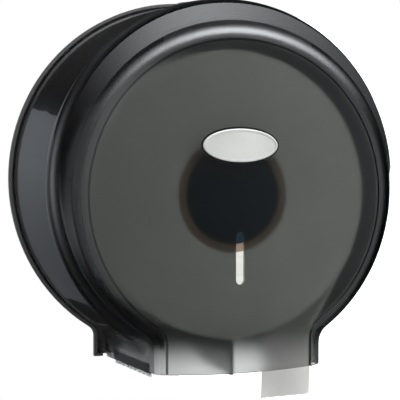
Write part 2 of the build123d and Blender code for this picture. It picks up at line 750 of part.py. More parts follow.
screw_head_rear = retaining_rear + retaining_washer_thickness
with BuildPart() as retaining_screw:
    with BuildSketch(Plane.XY):
        add(ring_profile(0, retaining_screw_radius, axle_end_depth - retaining_screw_length,
                         screw_head_rear))
    revolve(axis=Axis.Y)
    with BuildSketch(Plane.XY):
        add(ring_profile(0, retaining_screw_head_radius, screw_head_rear,
                         screw_head_rear + retaining_screw_head_height))
    revolve(axis=Axis.Y)
    fillet(retaining_screw.faces().sort_by(Axis.Y)[0].edges(), radius=retaining_screw_head_round)
    socket_rear = screw_head_rear + retaining_screw_head_height - retaining_screw_socket_depth
    with BuildSketch(Plane.XZ.offset(socket_rear)):
        RegularPolygon(retaining_screw_socket_radius, 6)
    extrude(amount=retaining_screw_socket_depth + overrun, mode=Mode.SUBTRACT)
retaining_screw.part.label = "retaining_screw"
export_step(retaining_screw.part, "parts/retaining_screw.step")

# ----------------------------------------------------------------------- paper
with BuildPart() as cardboard_core:
    with BuildSketch(Plane.XY):
        add(ring_profile(hub_radius + loose_gap, core_radius, roll_rear_depth, roll_front_depth))
    revolve(axis=Axis.Y)
cardboard_core.part.label = "cardboard_core"
export_step(cardboard_core.part, "parts/cardboard_core.step")

with BuildPart() as paper_roll:
    with BuildSketch(Plane.XY):
        add(ring_profile(core_radius + seat_gap, roll_radius, roll_rear_depth, roll_front_depth))
    revolve(axis=Axis.Y)
paper_roll.part.label = "paper_roll"
export_step(paper_roll.part, "parts/paper_roll.step")

# The loose end leaves the roll on the right, bends at the mouth and hangs down.
tail_x = cover_inner_half_width - tail_wall_gap - paper_thickness / 2
tail_distance = math.hypot(tail_x, tail_bend_z)
tail_lift = roll_radius + loose_gap + paper_thickness / 2
tangent_angle = math.atan2(tail_bend_z, tail_x) + math.acos(tail_lift / tail_distance)
tangent_x = tail_lift * math.cos(tangent_angle)
tangent_z = tail_lift * math.sin(tangent_angle)
half_paper = paper_thickness / 2
lean = math.hypot(tangent_x - tail_x, tangent_z - tail_bend_z)
side_x = (tangent_z - tail_bend_z) / lean * half_paper
side_z = (tangent_x - tail_x) / lean * half_paper
with BuildPart() as paper_tail:
    with BuildSketch(Plane.XZ.offset(roll_rear_depth)):
        with BuildLine():
            Polyline((tangent_x + side_x, tangent_z - side_z),
                     (tail_x + half_paper, tail_bend_z),
                     (tail_x + half_paper, tail_back_z),
                     (tail_x - half_paper, tail_back_z),
                     (tail_x - half_paper, tail_bend_z),
                     (tangent_x - side_x, tangent_z + side_z), close=True)
        make_face()
    extrude(amount=roll_width)
    # Torn off at a slant: lower at the wall side
    with BuildSketch(Plane.YZ):
        with BuildLine():
            Polyline((-roll_rear_depth, tail_back_z), (-roll_front_depth, tail_front_z),
                     (-roll_front_depth, -far_side), (-roll_rear_depth, -far_side), close=True)
        make_face()
    extrude(amount=far_side, mode=Mode.SUBTRACT)
paper_tail.part.label = "paper_tail"
export_step(paper_tail.part, "parts/paper_tail.step")

# ------------------------------------------------------------------------ lock
nut_z = lock_seat_bottom_z - lock_nut_thickness

with BuildPart() as lock_body:
    with BuildSketch(Plane.XY.offset(lock_body_bottom_z)):
        with Locations((0, -lock_depth)):
            Circle(lock_body_radius)
    extrude(amount=lock_body_height)
    with BuildSketch(Plane.XY.offset(lock_seat_top_z)):
        with Locations((0, -lock_depth)):
            Circle(lock_flange_radius)
    extrude(amount=lock_flange_thickness)
    fillet(lock_body.faces().sort_by(Axis.Z)[-1].edges(), radius=lock_flange_round)
    with BuildSketch(Plane.XY.offset(lock_body_bottom_z)):
        with Locations((0, -lock_depth)):
            Circle(lock_plug_radius + running_gap)
    extrude(amount=lock_body_height + lock_flange_thickness, mode=Mode.SUBTRACT)
lock_body.part.label = "lock_body"
export_step(lock_body.part, "parts/lock_body.step")

with BuildPart() as lock_nut:
    with BuildSketch(Plane.XY.offset(nut_z)):
        with Locations((0, -lock_depth)):
            RegularPolygon(lock_nut_radius, 6)
            Circle(lock_body_radius + seat_gap, mode=Mode.SUBTRACT)
    extrude(amount=lock_nut_thickness)
lock_nut.part.label = "lock_nut"
export_step(lock_nut.part, "parts/lock_nut.step")

plug_top_z = lock_seat_top_z + lock_flange_thickness - lock_plug_sink
with BuildPart() as lock_plug:
    with BuildSketch(Plane.XY.offset(cam_top_z)):
        with Locations((0, -lock_depth)):
            Circle(lock_plug_radius)
    extrude(amount=plug_top_z - cam_top_z)
    with BuildSketch(Plane.XY.offset(plug_top_z - key_slot_height)):
        with Locations((0, -lock_depth)):
            Rectangle(key_slot_width, key_slot_length)
    extrude(amount=key_slot_height + overrun, mode=Mode.SUBTRACT)
    with BuildSketch(Plane.XY.offset(cam_top_z)):
        with Locations((0, -lock_depth)):
            Circle(cam_screw_radius + seat_gap)
    extrude(amount=cam_screw_length, mode=Mode.SUBTRACT)
lock_plug.part.label = "lock_plug"
export_step(lock_plug.part, "parts/lock_plug.step")

with BuildPart() as lock_cam:
    with BuildSketch(Plane.XY.offset(cam_bottom_z)):
        with Locations((0, -lock_depth)):
            Circle(cam_width)
        with Locations((0, -lock_depth + cam_length / 2)):
            Rectangle(cam_width, cam_length)
        with Locations((0, -lock_depth)):
            Circle(cam_screw_radius + seat_gap, mode=Mode.SUBTRACT)
    extrude(amount=cam_thickness)
    tip_edges = lock_cam.edges().filter_by(Axis.Z).group_by(Axis.Y)[-1]
    fillet(tip_edges, radius=cam_tip_round)
lock_cam.part.label = "lock_cam"
export_step(lock_cam.part, "parts/lock_cam.step")

with BuildPart() as cam_screw:
    with BuildSketch(Plane.XY.offset(cam_bottom_z - cam_screw_head_height)):
        with Locations((0, -lock_depth)):
            Circle(cam_screw_head_radius)
    extrude(amount=cam_screw_head_height)
    with BuildSketch(Plane.XY.offset(cam_bottom_z)):
        with Locations((0, -lock_depth)):
            Circle(cam_screw_radius)
    extrude(amount=cam_screw_length)
cam_screw.part.label = "cam_screw"
export_step(cam_screw.part, "parts/cam_screw.step")

# ---------------------------------------------------------------------- keeper
lip_near = lock_depth + cam_width / 2 + keeper_lip_gap
with BuildPart() as latch_keeper:
    with BuildSketch(Plane.XY.offset(keeper_bottom_z)):
        with BuildLine():
            arm_x = keeper_reach_x - keeper_thickness
            foot_front = plate_floor + keeper_thickness
            Polyline((keeper_reach_x, -plate_floor),
                     (keeper_reach_x, -lip_near - keeper_thickness),
                     (keeper_reach_x - keeper_lip_length, -lip_near - keeper_thickness),
                     (keeper_reach_x - keeper_lip_length, -lip_near),
                     (arm_x, -lip_near),
                     (arm_x, -foot_front),
                     (keeper_reach_x - keeper_foot_length, -foot_front),
                     (keeper_reach_x - keeper_foot_length, -plate_floor), close=True)
        make_face()
    extrude(amount=keeper_top_z - keeper_bottom_z)
    with BuildSketch(Plane.XZ.offset(plate_floor)):
        with Locations(*keeper_screw_places):
            Circle(keeper_screw_radius + seat_gap)
    extrude(amount=keeper_thickness, mode=Mode.SUBTRACT)
latch_keeper.part.label = "latch_keeper"
export_step(latch_keeper.part, "parts/latch_keeper.step")

with BuildPart() as keeper_screws:
    screw_end = screw_floor + slack
    with BuildSketch(Plane.XZ.offset(screw_end)):
        with Locations(*keeper_screw_places):
            Circle(keeper_screw_radius)
    extrude(amount=plate_floor + keeper_thickness - screw_end)
    with BuildSketch(Plane.XZ.offset(plate_floor + keeper_thickness)):
        with Locations(*keeper_screw_places):
            Circle(keeper_screw_head_radius)
    extrude(amount=keeper_screw_head_height)
keeper_screws.part.label = "keeper_screws"
export_step(keeper_screws.part, "parts/keeper_screws.step")

# -------------------------------------------------------------------- bumpers
bumper_circle = plate_radius - plate_rim - bumper_rim_gap - bumper_radius
with BuildPart() as rubber_bumpers:
    with BuildSketch(Plane.XZ.offset(plate_floor)):
        bumper_places = []
        for angle in bumper_angles:
            turn = math.radians(angle)
            bumper_places.append((bumper_circle * math.cos(turn),
                                  plate_centre_z + bumper_circle * math.sin(turn)))
        with Locations(*bumper_places):
            Circle(bumper_radius)
    extrude(amount=cover_rear_depth - plate_floor - loose_gap)
rubber_bumpers.part.label = "rubber_bumpers"
export_step(rubber_bumpers.part, "parts/rubber_bumpers.step")
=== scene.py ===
import math
import random

import bmesh
import bpy
from mathutils import Matrix, Vector


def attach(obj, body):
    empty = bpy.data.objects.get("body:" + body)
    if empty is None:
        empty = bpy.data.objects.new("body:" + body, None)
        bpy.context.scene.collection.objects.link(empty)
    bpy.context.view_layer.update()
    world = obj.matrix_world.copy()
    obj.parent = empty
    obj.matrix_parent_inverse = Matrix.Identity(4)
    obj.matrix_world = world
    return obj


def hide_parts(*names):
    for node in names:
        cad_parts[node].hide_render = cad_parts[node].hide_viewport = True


MM = 0.001

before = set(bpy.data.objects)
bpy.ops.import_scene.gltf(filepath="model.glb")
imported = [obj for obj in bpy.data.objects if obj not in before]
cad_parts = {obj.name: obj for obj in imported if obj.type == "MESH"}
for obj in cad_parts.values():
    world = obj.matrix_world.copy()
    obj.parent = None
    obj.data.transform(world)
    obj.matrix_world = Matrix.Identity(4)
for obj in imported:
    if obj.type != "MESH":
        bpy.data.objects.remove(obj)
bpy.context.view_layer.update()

WHITE = (1.0, 1.0, 1.0, 1.0)
BLACK = (0.0, 0.0, 0.0, 1.0)

# The roll and its loose end, as the CAD model has them (mm from the spindle's axis and from the wall).
ROLL_RADIUS = 100.5
ROLL_REAR = 32.0
ROLL_FRONT = 120.0
ROLL_MIDDLE = 76.0
CORE_RADIUS = 40.42
TAIL_X = 59.15
TAIL_BEND_Z = -98.0
TAIL_BEND_RADIUS = 9.0
TAIL_REAR_Z = -165.0
TAIL_FRONT_Z = -144.0
TAIL_LIFT = 0.3
TAIL_WRAP_DEGREES = 7.0
TAIL_PLY = 0.22

# How finely the soft pieces are drawn, within what distance their points merge (m), and the angle
# past which an edge is sharp (radians).
ROLL_END_CUTS = 58
ROLL_STEPS = 160
TAIL_ACROSS_CUTS = 43
TAIL_WRAP_SHARES = (1.0, 0.75, 0.5, 0.25)
TAIL_RUN_STEPS = 9
TAIL_BEND_STEPS = 8
TAIL_DROP_STEPS = 26
MERGE_REACH = 1e-6
TEAR_REACH = 2e-5
SHARP_ANGLE = 0.9

# How far the soft pieces stray from an even shape, and the heights below which the loose end does (mm).
LAYER_STRAY = 0.35
OUTER_LAYER_SET_BACK = 0.5
SWAY_TOP_Z = -125.0
SWAY_LENGTH = 40.0
SWAY = 1.1
SWAY_WAVE_PER_MM = 0.075
SWAY_START = 0.6
RIPPLE = 0.25
RIPPLE_WAVE_PER_MM = 0.31
RIPPLE_WAVE_PER_M_DOWN = 160.0
TEAR_DROP = 0.35
TEAR_RISE = 0.5
TEAR_CURL = 0.35
TEAR_TOP_Z = -130.0

# Where the front cover's looks change: at its groove, which painted shade darkens, its panel, skirt and mouth
# sides, and from its left, where painted shade darkens the panel, to its unshaded part (mm).
GROOVE_FLOOR_DEPTH = 133.1
GROOVE_REACH = 0.8
GROOVE_OUTER_RADIUS = 107.6
GROOVE_SIDE_X = 54.4
PANEL_FADE_RADIUS = 114.5
PANEL_FACE_DEPTH = 132.0
PANEL_REACH = 2.8
SKIRT_TOP_Z = -96.0
SKIRT_FULL_Z = -118.0
MOUTH_SIDE_X = 57.5
PAINTED_SHADE_SIDE_X = -120.0
UNSHADED_SIDE_X = 30.0

# How much of the shoulder's colour the panel's left takes as painted shade, and the haze added at the mouth's
# sides.
PAINTED_SHADE_SHARE = 0.5
SIDE_HAZE = 0.35

# See-through colours of the shoulder, the front panel and the skirt, then smoke, haze and panel haze.
# Painted light: the panel's paler see-through colour against the much darker shoulder stands in for light
# that its textured face scatters from the lit inside.
COVER_COLOURS = ((0.035, 0.037, 0.04, 1.0), (0.143, 0.151, 0.145, 1.0), (0.5, 0.505, 0.505, 1.0))
COVER_LOOK = (20.0, 0.2, 0.18)
CUTTER_COLOURS = ((0.7, 0.71, 0.71, 1.0), (0.7, 0.71, 0.71, 1.0), (0.93, 0.94, 0.94, 1.0))
CUTTER_LOOK = (10.0, 0.3, 0.0)
SMOKE_COLOUR = (0.0, 0.03, 0.01, 1.0)
# Painted shade: a dark colour in the front groove, standing for the light its walls turn away.
GROOVE_PAINTED_SHADE = (0.03, 0.03, 0.03, 1.0)
SKIRT_SHADE = (0.1, 0.1, 0.105, 1.0)

# Moulded plastics: colour, colour where rubbed, roughness, grain scale, grain depth, wear and dust,
# then the nodes that wear them.
LINT = (0.5, 0.49, 0.47, 1.0)
PLASTICS = {
    "black_abs_back_plate": (
        ((0.06, 0.06, 0.062, 1.0), (0.1, 0.1, 0.105, 1.0), 0.3, 2600.0, 0.00003, 0.5, 0.2),
        ("back_plate",)),
    "black_acetal_axle": (
        ((0.016, 0.016, 0.017, 1.0), (0.06, 0.06, 0.06, 1.0), 0.32, 3400.0, 0.00002, 0.5, 0.2),
        ("spindle_axle",)),
    "blue_black_hub": (
        ((0.012, 0.03, 0.045, 1.0), (0.05, 0.055, 0.06, 1.0), 0.38, 3000.0, 0.00003, 0.5, 0.2),
        ("hub_sleeve", "hub_cap")),
    "ivory_acetal_bush": (
        ((0.72, 0.7, 0.64, 1.0), (0.8, 0.79, 0.75, 1.0), 0.35, 3200.0, 0.00002, 0.5, 0.1),
        ("hub_bush_rear", "hub_bush_front")),
    "black_foam_pad": (
        ((0.008, 0.008, 0.008, 1.0), (0.02, 0.02, 0.02, 1.0), 0.9, 1800.0, 0.00015, 0.2, 0.2),
        ("badge_pad",)),
    "black_rubber_bumper": (
        ((0.014, 0.014, 0.014, 1.0), (0.04, 0.04, 0.04, 1.0), 0.75, 1500.0, 0.00008, 0.5, 0.2),
        ("rubber_bumpers",)),
}
STEEL_NODES = (
    "hinge_pin_left", "hinge_pin_right", "axle_screws", "brake_washer", "retaining_washer",
    "retaining_screw", "latch_keeper", "keeper_screws", "lock_body", "lock_nut", "lock_plug",
    "lock_cam", "cam_screw")

# The photograph's camera: its place, how far it looks down and to the right, and its lens.
CAMERA_PLACE = (-0.2782, -0.8359, 0.0211)
CAMERA_DOWN_DEGREES = 1.86
CAMERA_RIGHT_DEGREES = 19.52
CAMERA_LENS = 99.0
CAMERA_SENSOR = 36.0

# What mirrors show of the studio's unlit side, and the white air's own light on matt surfaces.
DARK_LEVEL = 0.012
AIR_LEVEL = 0.6

# The dark tent's radius; it ends just above the pale floor, so that gloss shows cloth below the object.
TENT_RADIUS = 3.0
TENT_FLOOR_Z = -0.85

# Soft patches of light that gloss shows: azimuth from the wall towards the right and elevation,
# spread across and upwards, all in degrees, then strength.
STUDIO_GLOWS = [
    (157.0, 29.0, 14.0, 5.5, 15.0),
    (172.0, 36.0, 15.0, 4.5, 1.4),
    (162.0, 73.0, 24.0, 8.0, 4.0),
    (140.0, -2.0, 8.0, 26.0, 0.9),
    (-138.0, 2.0, 8.0, 14.0, 0.15),
    (-62.0, 1.0, 9.0, 15.0, 1.2),
    (-30.0, 48.0, 22.0, 12.0, 0.15),
]

# The grey card behind on the left, which gloss shows: height and level of its dark foot and pale top.
CARD_FOOT = (-0.8, 0.03)
CARD_TOP = (0.1, 0.28)

# Lamps that light matt surfaces: name, place, width, height and radiance.
LAMP_AIM = (0, -0.1, 0)
STUDIO_LAMPS = [
    ("overhead_lamp", (-0.2, -0.3, 1.3), 1.1, 0.6, 2.2),
    ("key_lamp", (0.5, -1.5, 0.9), 1.0, 0.7, 6.8),
    ("left_lamp", (-1.5, -0.6, 0.7), 1.1, 1.0, 4.5),
]


# ---------------------------------------------------------------- shader nodes


def feed(tree, node, sockets):
    """Fills a node's sockets: another node's socket is linked, a value is set."""
    for name, value in sockets.items():
        if isinstance(value, bpy.types.NodeSocket):
            tree.links.new(value, node.inputs[name])
        else:
            node.inputs[name].default_value = value


def put(tree, kind, sockets=None, **settings):
    """A node with its settings made and its sockets filled."""
    made = tree.nodes.new("ShaderNode" + kind)
    for name, value in settings.items():
        setattr(made, name, value)
    feed(tree, made, sockets or {})
    return made


def worked(tree, operation, first, second=0.0, clamp=False):
    return put(tree, "Math", {0: first, 1: second}, operation=operation, use_clamp=clamp).outputs[0]


def product(tree, first, second, clamp=False):
    return worked(tree, "MULTIPLY", first, second, clamp)


def total(tree, first, second, clamp=False):
    return worked(tree, "ADD", first, second, clamp)


def either(tree, first, second):
    return worked(tree, "MAXIMUM", first, second)


def ranged(tree, value, low, high, to_low, to_high):
    sockets = {"Value": value, "From Min": low, "From Max": high, "To Min": to_low, "To Max": to_high}
    return put(tree, "MapRange", sockets).outputs["Result"]


def blended(tree, factor, first, second):
    return put(tree, "Mix", {0: factor, 6: first, 7: second}, data_type="RGBA").outputs[2]


def mixed(tree, factor, first, second):
    return put(tree, "Mix", {0: factor, 2: first, 3: second}, data_type="FLOAT").outputs[0]


def object_spot(tree):
    return put(tree, "TexCoord").outputs["Object"]


def split(tree, vector):
    return put(tree, "SeparateXYZ", {0: vector}).outputs


def axis_distance(tree, spot):
    """The distance from the spindle's axis; the spot is given by its separate parts."""
    flat = put(tree, "CombineXYZ", {"X": spot["X"], "Z": spot["Z"]}).outputs[0]
    return put(tree, "VectorMath", {0: flat}, operation="LENGTH").outputs["Value"]


def dot(tree, first, second):
    return put(tree, "VectorMath", {0: first, 1: second}, operation="DOT_PRODUCT").outputs["Value"]


def mottle(tree, where, scale, detail=3.0, roughness=0.5):
    sockets = {"Vector": where, "Scale": scale, "Detail": detail, "Roughness": roughness}
    return put(tree, "TexNoise", sockets).outputs["Fac"]


def stretched(tree, where, scale):
    return put(tree, "Mapping", {"Vector": where, "Scale": scale}, vector_type="POINT").outputs[0]


def bumped(tree, strength, distance, height):
    return put(tree, "Bump", {"Strength": strength, "Distance": distance, "Height": height}).outputs["Normal"]


def seen_directly(tree, path):
    """One where the camera, glass or a mirror sees the surface, else nothing."""
    direct = either(tree, path["Is Camera Ray"], path["Is Transmission Ray"])
    return either(tree, direct, path["Is Glossy Ray"])


def start_group(name, inputs, outputs):
    tree = bpy.data.node_groups.new(name, "ShaderNodeTree")
    for label, value in inputs.items():
        socket = tree.interface.new_socket(label, in_out="INPUT", socket_type="NodeSocketFloat")
        socket.default_value = value
    for label, kind in outputs.items():
        tree.interface.new_socket(label, in_out="OUTPUT", socket_type=kind)
    taken = tree.nodes.new("NodeGroupInput")
    given = tree.nodes.new("NodeGroupOutput")
    return tree, taken.outputs, given


def place_group(tree, group, sockets):
    return put(tree, "Group", sockets, node_tree=group).outputs


def moulded_skin_group():
    """Spark-eroded mould texture: fine grain, and slow patches that change the roughness."""
    tree, taken, given = start_group(
        "moulded_skin",
        {"Grain Scale": 2200.0, "Grain Depth": 0.00004, "Roughness": 0.45, "Roughness Spread": 0.1},
        {"Roughness": "NodeSocketFloat", "Normal": "NodeSocketVector", "Patches": "NodeSocketFloat"})
    where = object_spot(tree)
    grain = mottle(tree, where, taken["Grain Scale"], 2.0, 0.6)
    patches = mottle(tree, where, 38.0, 4.0, 0.55)
    spread = product(tree, worked(tree, "SUBTRACT", patches, 0.5), taken["Roughness Spread"])
    rough = total(tree, taken["Roughness"], product(tree, spread, 2.0), clamp=True)
    normal = bumped(tree, 0.6, taken["Grain Depth"], grain)
    feed(tree, given, {"Roughness": rough, "Normal": normal, "Patches": patches})
    return tree


def rubbed_edge_group():
    """A mask along convex and concave edges, broken up by noise: where handling has polished the piece."""
    tree, taken, given = start_group(
        "rubbed_edge", {"Width": 0.0008, "Amount": 0.6}, {"Mask": "NodeSocketFloat"})
    rounded = put(tree, "Bevel", {"Radius": taken["Width"]}, samples=4).outputs["Normal"]
    facing = dot(tree, rounded, put(tree, "NewGeometry").outputs["Normal"])
    turned = ranged(tree, facing, 0.995, 0.86, 0.0, 1.0)
    broken = ranged(tree, mottle(tree, object_spot(tree), 260.0, 4.0, 0.65), 0.38, 0.62, 0.0, 1.0)
    worn = product(tree, product(tree, turned, broken), taken["Amount"], clamp=True)
    feed(tree, given, {"Mask": worn})
    return tree


def paper_dust_group():
    """Paper lint that settles on what faces up, thin and uneven."""
    tree, taken, given = start_group("paper_dust", {"Amount": 0.3}, {"Mask": "NodeSocketFloat"})
    where = object_spot(tree)
    up = split(tree, put(tree, "NewGeometry").outputs["Normal"])["Z"]
    lying = ranged(tree, up, 0.35, 1.0, 0.0, 1.0)
    specks = ranged(tree, mottle(tree, where, 900.0, 5.0, 0.7), 0.5, 0.72, 0.0, 1.0)
    haze = ranged(tree, mottle(tree, where, 55.0, 3.0, 0.5), 0.35, 0.75, 0.1, 0.6)
    both = total(tree, product(tree, specks, 0.5), haze)
    mask = product(tree, product(tree, both, lying), taken["Amount"], clamp=True)
    feed(tree, given, {"Mask": mask})
    return tree


def wound_layers_group():
    """Thin layers wound round the spindle: values that change with the distance from its axis."""
    tree, taken, given = start_group(
        "wound_layers",
        {"Layers Per Metre": 2500.0},
        {"Layers": "NodeSocketFloat", "Slow": "NodeSocketFloat", "End Face": "NodeSocketFloat"})
    spots = put(tree, "TexCoord").outputs
    radius = axis_distance(tree, split(tree, spots["Object"]))
    drift = product(tree, mottle(tree, spots["Object"], 30.0, 2.0), 0.0016)
    wandering = total(tree, radius, drift)
    fine = put(tree, "TexNoise", {"W": wandering, "Scale": taken["Layers Per Metre"], "Detail": 2.0},
               noise_dimensions="1D")
    slow = put(tree, "TexNoise", {"W": wandering, "Scale": 160.0, "Detail": 4.0, "Roughness": 0.7},
               noise_dimensions="1D")
    along = split(tree, spots["Normal"])["Y"]
    end = ranged(tree, worked(tree, "ABSOLUTE", along), 0.6, 0.9, 0.0, 1.0)
    feed(tree, given, {"Layers": fine.outputs["Fac"], "Slow": slow.outputs["Fac"], "End Face": end})
    return tree


MOULDED_SKIN = moulded_skin_group()
RUBBED_EDGE = rubbed_edge_group()
PAPER_DUST = paper_dust_group()
WOUND_LAYERS = wound_layers_group()


# ---------------------------------------------------------------- materials


def start_material(name):
    material = bpy.data.materials.new(name)
    material.use_nodes = True
    tree = material.node_tree
    return material, tree, tree.nodes["Principled BSDF"]


def moulded_plastic(name, colour, rubbed, roughness, grain, depth, wear, dust):
    material, tree, shader = start_material(name)
    skin = place_group(tree, MOULDED_SKIN, {
        "Grain Scale": grain, "Grain Depth": depth, "Roughness": roughness, "Roughness Spread": 0.08})
    edge = place_group(tree, RUBBED_EDGE, {"Width": 0.0007, "Amount": wear})["Mask"]
    lint = place_group(tree, PAPER_DUST, {"Amount": dust})["Mask"]
    deep = tuple(part * 0.8 for part in colour[:3]) + (1.0,)
    body = blended(tree, skin["Patches"], deep, colour)
    handled = blended(tree, edge, body, rubbed)
    covered = blended(tree, lint, handled, LINT)
    polished = worked(tree, "SUBTRACT", skin["Roughness"], product(tree, edge, 0.15), clamp=True)
    dull = total(tree, polished, product(tree, lint, 0.4), clamp=True)
    feed(tree, shader, {"Base Color": covered, "Roughness": dull, "Normal": skin["Normal"]})
    return material


def near_value(tree, value, middle, reach):
    apart = worked(tree, "ABSOLUTE", worked(tree, "SUBTRACT", value, middle))
    return worked(tree, "LESS_THAN", apart, reach)


def cover_zone_masks(tree):
    """Masks for painted shade in the front groove, the textured panel inside it, the skirt, the painted shade
    darkening the panel's left side, and the mouth's frosted side walls."""
    spot = split(tree, object_spot(tree))
    radius = axis_distance(tree, spot)
    beside = worked(tree, "ABSOLUTE", spot["X"])
    middle = worked(tree, "LESS_THAN", beside, GROOVE_SIDE_X * MM)
    within = either(tree, worked(tree, "LESS_THAN", radius, GROOVE_OUTER_RADIUS * MM), middle)
    fading = ranged(tree, radius, PANEL_FADE_RADIUS * MM, GROOVE_OUTER_RADIUS * MM, 0.0, 1.0)
    around = either(tree, fading, middle)
    floor = near_value(tree, spot["Y"], -GROOVE_FLOOR_DEPTH * MM, GROOVE_REACH * MM)
    face = near_value(tree, spot["Y"], -PANEL_FACE_DEPTH * MM, PANEL_REACH * MM)
    skirt = ranged(tree, spot["Z"], SKIRT_TOP_Z * MM, SKIRT_FULL_Z * MM, 0.0, 1.0)
    # Painted shade: the panel's colour grows darker towards its left, where less light falls.
    left = ranged(tree, spot["X"], PAINTED_SHADE_SIDE_X * MM, UNSHADED_SIDE_X * MM, PAINTED_SHADE_SHARE, 0.0)
    mouth_side = product(tree, worked(tree, "GREATER_THAN", beside, MOUTH_SIDE_X * MM), skirt)
    return product(tree, floor, within), product(tree, face, around), skirt, left, mouth_side


def smoked_polycarbonate(name, colours, smoke, haze, panel_haze):
    """Smoked see-through plastic; colours are those of the shoulder, the front panel and the skirt; the
    panel's paler colour is painted light.

    Lamps light what is behind it as through thin air, less what its depth and its skirt take.
    """
    material, tree, shader = start_material(name)
    skin = place_group(tree, MOULDED_SKIN, {
        "Grain Scale": 3000.0, "Grain Depth": 0.0000004, "Roughness": haze, "Roughness Spread": 0.02})
    edge = place_group(tree, RUBBED_EDGE, {"Width": 0.0005, "Amount": 0.5})["Mask"]
    lint = place_group(tree, PAPER_DUST, {"Amount": 0.05})["Mask"]
    groove, panel, skirt, left, mouth_side = cover_zone_masks(tree)
    shoulder_colour, panel_colour, skirt_colour = colours
    # Painted shade: the panel's left takes on part of the dark shoulder colour.
    uneven = blended(tree, left, panel_colour, shoulder_colour)
    # Painted light: the panel zone gets the paler colour, and the shoulder keeps the darker painted shade.
    front = blended(tree, panel, shoulder_colour, uneven)
    zoned = blended(tree, skirt, front, skirt_colour)
    streaks = ranged(tree, skin["Patches"], 0.3, 0.7, 0.0, 0.12)
    streaked = blended(tree, streaks, zoned, shoulder_colour)
    # Painted shade: the groove is darkened in colour, not by light.
    groove_shade_painted = blended(tree, groove, streaked, GROOVE_PAINTED_SHADE)
    scuffed = total(tree, skin["Roughness"], product(tree, edge, 0.12), clamp=True)
    textured = total(tree, scuffed, product(tree, panel, panel_haze), clamp=True)
    hazy = total(tree, textured, product(tree, mouth_side, SIDE_HAZE), clamp=True)
    dull = total(tree, hazy, product(tree, lint, 0.5), clamp=True)
    feed(tree, shader, {
        "Base Color": groove_shade_painted, "Roughness": dull, "Normal": skin["Normal"],
        "Metallic": 0.0, "IOR": 1.25, "Transmission Weight": 1.0,
        "Coat Weight": 1.0, "Coat Roughness": 0.035, "Coat IOR": 1.5})
    path = put(tree, "LightPath").outputs
    passing = either(tree, path["Is Shadow Ray"], path["Is Diffuse Ray"])
    clear = put(tree, "BsdfTransparent", {"Color": blended(tree, skirt, WHITE, SKIRT_SHADE)})
    shown = put(tree, "MixShader", {0: passing, 1: shader.outputs[0], 2: clear.outputs[0]})
    depth = put(tree, "VolumeAbsorption", {"Color": SMOKE_COLOUR, "Density": smoke})
    output = tree.nodes["Material Output"]
    feed(tree, output, {"Surface": shown.outputs[0], "Volume": depth.outputs[0]})
    return material


def plated_steel(name):
    material, tree, shader = start_material(name)
    where = object_spot(tree)
    brushed = mottle(tree, stretched(tree, where, (1.0, 0.06, 1.0)), 2400.0, 2.0)
    spangle = mottle(tree, where, 420.0, 3.0, 0.6)
    edge = place_group(tree, RUBBED_EDGE, {"Width": 0.0004, "Amount": 0.7})["Mask"]
    body = blended(tree, spangle, (0.5, 0.51, 0.53, 1.0), (0.66, 0.66, 0.67, 1.0))
    bright = blended(tree, edge, body, (0.8, 0.8, 0.8, 1.0))
    rough = ranged(tree, spangle, 0.3, 0.7, 0.26, 0.42)
    normal = bumped(tree, 0.3, 0.00002, brushed)
    feed(tree, shader, {"Base Color": bright, "Roughness": rough, "Metallic": 1.0, "Normal": normal})
    return material


def satin_silver(name):
    material, tree, shader = start_material(name)
    where = object_spot(tree)
    fine = mottle(tree, where, 5200.0, 2.0, 0.6)
    slow = mottle(tree, where, 70.0, 3.0, 0.5)
    edge = place_group(tree, RUBBED_EDGE, {"Width": 0.0006, "Amount": 0.6})["Mask"]
    body = blended(tree, slow, (0.62, 0.625, 0.605, 1.0), (0.68, 0.685, 0.665, 1.0))
    bright = blended(tree, edge, body, (0.9, 0.9, 0.9, 1.0))
    rough = ranged(tree, slow, 0.3, 0.7, 0.34, 0.44)
    normal = bumped(tree, 0.4, 0.00001, fine)
    feed(tree, shader, {"Base Color": bright, "Roughness": rough, "Metallic": 0.45, "Normal": normal})
    return material


def soft_tissue(name):
    """Two-ply creped tissue; on the roll's ends its edges show as fine layers."""
    material, tree, shader = start_material(name)
    where = object_spot(tree)
    layers = place_group(tree, WOUND_LAYERS, {"Layers Per Metre": 2600.0})
    crepe = mottle(tree, stretched(tree, where, (1.0, 0.22, 1.0)), 1500.0, 3.0, 0.6)
    creases = mottle(tree, stretched(tree, where, (1.0, 0.5, 1.0)), 170.0, 4.0, 0.55)
    fibre = mottle(tree, where, 4200.0, 2.0, 0.7)
    relief = total(tree, product(tree, crepe, 0.35), product(tree, creases, 0.65))
    packed = total(tree, product(tree, layers["Layers"], 0.6), product(tree, layers["Slow"], 0.9))
    normal = bumped(tree, 0.8, 0.00025, mixed(tree, layers["End Face"], relief, packed))
    plain = blended(tree, fibre, (0.87, 0.87, 0.85, 1.0), (0.93, 0.93, 0.91, 1.0))
    cut = blended(tree, layers["Slow"], (0.66, 0.655, 0.62, 1.0), (0.83, 0.825, 0.79, 1.0))
    colour = blended(tree, layers["End Face"], plain, cut)
    feed(tree, shader, {
        "Base Color": colour, "Roughness": ranged(tree, fibre, 0.2, 0.8, 0.9, 1.0), "Normal": normal,
        "Specular IOR Level": 0.25, "Sheen Weight": 0.15, "Sheen Roughness": 0.5})
    return material


